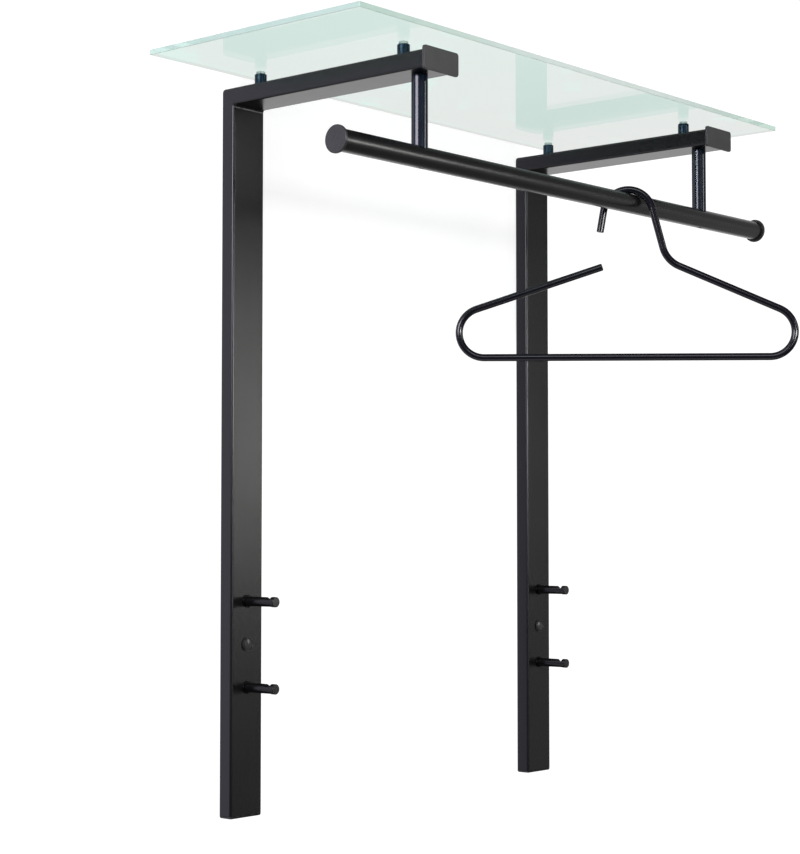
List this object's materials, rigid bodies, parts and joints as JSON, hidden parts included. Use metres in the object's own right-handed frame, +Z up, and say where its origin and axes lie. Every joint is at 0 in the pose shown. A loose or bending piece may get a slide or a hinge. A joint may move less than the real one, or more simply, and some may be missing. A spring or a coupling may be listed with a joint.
{
  "type": "wall coat rack",
  "caption": "Wall coat rack of black tube brackets with a glass shelf, a clothes bar hung below it, notched coat pegs on the posts and a bent-rod hanger.",
  "frame": {"origin": "on the wall plane, midway between the posts, level with the seats of the upper wall screws", "axes": "+X to the right along the wall as seen from the room, +Y into the wall, +Z up"},
  "size_m": [0.8388, 0.4435, 0.8657],
  "materials": {
    "powder_coat": "satin black powder coat",
    "gloss_black": "glossy black lacquer",
    "moulded_black": "satin black moulding",
    "black_steel": "blackened steel",
    "clear_pad": "clear soft plastic",
    "green_glass": "clear pale green glass with a fine arris"
  },
  "bodies": {
    "rack": {"bracket_left": "powder_coat", "arm_end_plate_left": "moulded_black", "post_plug_left": "moulded_black", "standoff_left_rear": "gloss_black", "shelf_pad_left_rear": "clear_pad", "standoff_left_front": "gloss_black", "shelf_pad_left_front": "clear_pad", "support_rod_left": "gloss_black", "rod_screw_left": "black_steel", "bar_screw_left": "black_steel", "bar_cap_left": "moulded_black", "peg_left_upper": "gloss_black", "peg_insert_left_upper": "black_steel", "peg_left_lower": "gloss_black", "peg_insert_left_lower": "black_steel", "bracket_right": "powder_coat", "arm_end_plate_right": "moulded_black", "post_plug_right": "moulded_black", "standoff_right_rear": "gloss_black", "shelf_pad_right_rear": "clear_pad", "standoff_right_front": "gloss_black", "shelf_pad_right_front": "clear_pad", "support_rod_right": "gloss_black", "rod_screw_right": "black_steel", "bar_screw_right": "black_steel", "bar_cap_right": "moulded_black", "peg_right_upper": "gloss_black", "peg_insert_right_upper": "black_steel", "peg_right_lower": "gloss_black", "peg_insert_right_lower": "black_steel", "clothes_bar": "powder_coat", "glass_shelf": "green_glass"},
    "hanger": {"hanger": "gloss_black"},
    "left_cover": {"screw_cover_left": "moulded_black"},
    "right_cover": {"screw_cover_right": "moulded_black"}
  },
  "joints": [
    {"name": "hanger_slide", "type": "slide", "parent": "rack", "child": "hanger", "axis": [1, 0, 0], "range_m": [-0.3759, 0.1411]},
    {"name": "left_cover_pull", "type": "slide", "parent": "rack", "child": "left_cover", "axis": [0, -1, 0], "range_m": [0, 0.009]},
    {"name": "right_cover_pull", "type": "slide", "parent": "rack", "child": "right_cover", "axis": [0, -1, 0], "range_m": [0, 0.009]}
  ]
}
